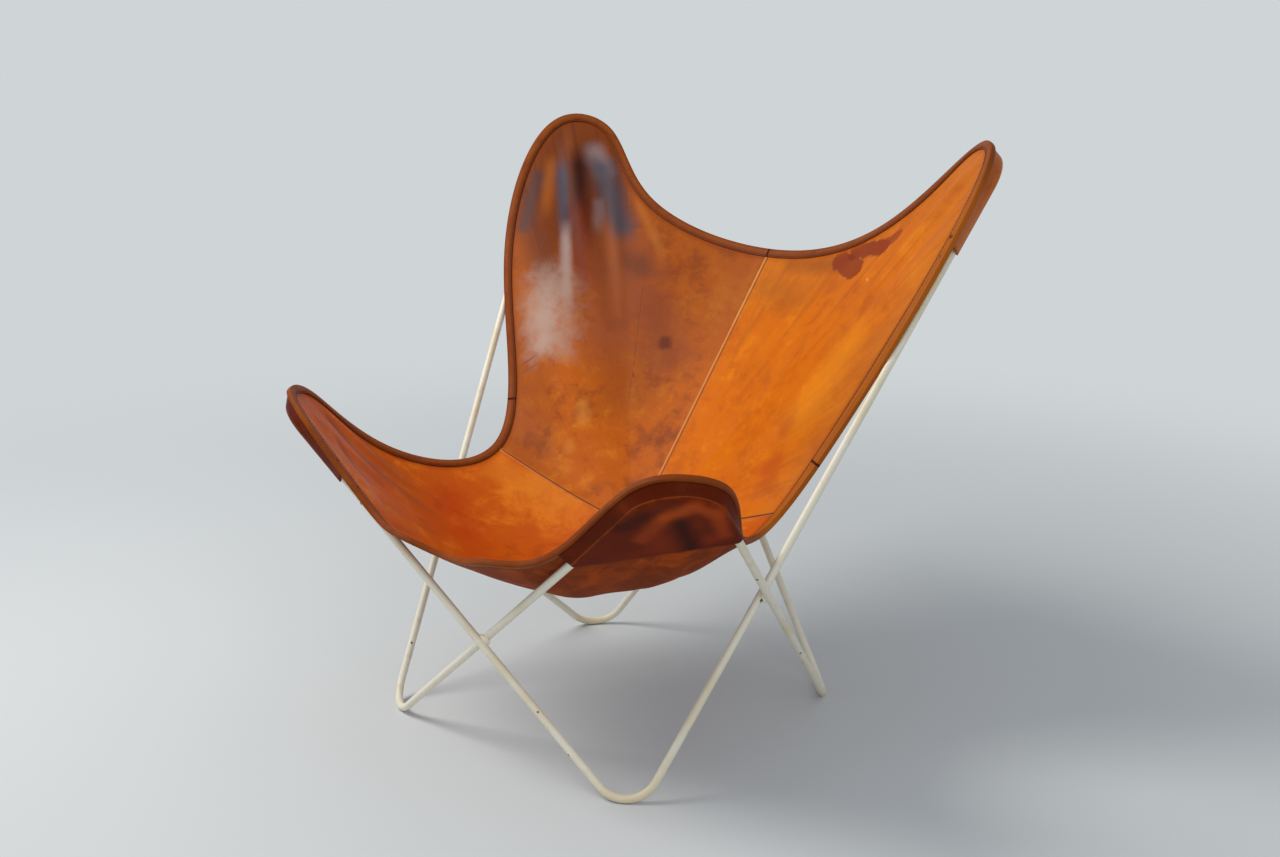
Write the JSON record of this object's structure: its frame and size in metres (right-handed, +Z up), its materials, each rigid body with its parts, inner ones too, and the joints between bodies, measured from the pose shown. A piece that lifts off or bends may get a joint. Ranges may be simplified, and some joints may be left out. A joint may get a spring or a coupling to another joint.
{
  "type": "butterfly sling chair",
  "caption": "Butterfly chair: crossed loops of bent steel rod carry a leather sling seat and back on four pockets.",
  "frame": {"origin": "on the floor, under the middle of the chair's outline", "axes": "+Z up, the seat faces -Y, +X to the right as seen from the front"},
  "size_m": [0.9172, 0.788, 0.885],
  "materials": {
    "frame_paint": "satin cream paint, slightly yellowed, small nicks",
    "leather_seat": "worn cognac saddle leather, satin",
    "leather_back": "worn cognac saddle leather with a brown patina, satin",
    "leather_pocket": "red-brown saddle leather, satin",
    "leather_binding": "dark brown leather binding, satin",
    "leather_seam": "light brown leather strip, rubbed"
  },
  "bodies": {
    "root": {"frame_loop_low_right": "frame_paint", "frame_loop_low_left": "frame_paint", "weld_front": "frame_paint", "weld_back": "frame_paint", "weld_right": "frame_paint", "weld_left": "frame_paint", "seat_panel": "leather_seat", "back_panel_right": "leather_back", "back_panel_left": "leather_back", "binding_front": "leather_binding", "binding_back_right": "leather_binding", "binding_back_left": "leather_binding", "seam_strip_right": "leather_seam", "seam_strip_left": "leather_seam", "seam_strip_back": "leather_seam", "pocket_low_right": "leather_pocket", "pocket_high_right": "leather_pocket", "pocket_low_left": "leather_pocket", "pocket_high_left": "leather_pocket"}
  },
  "joints": []
}
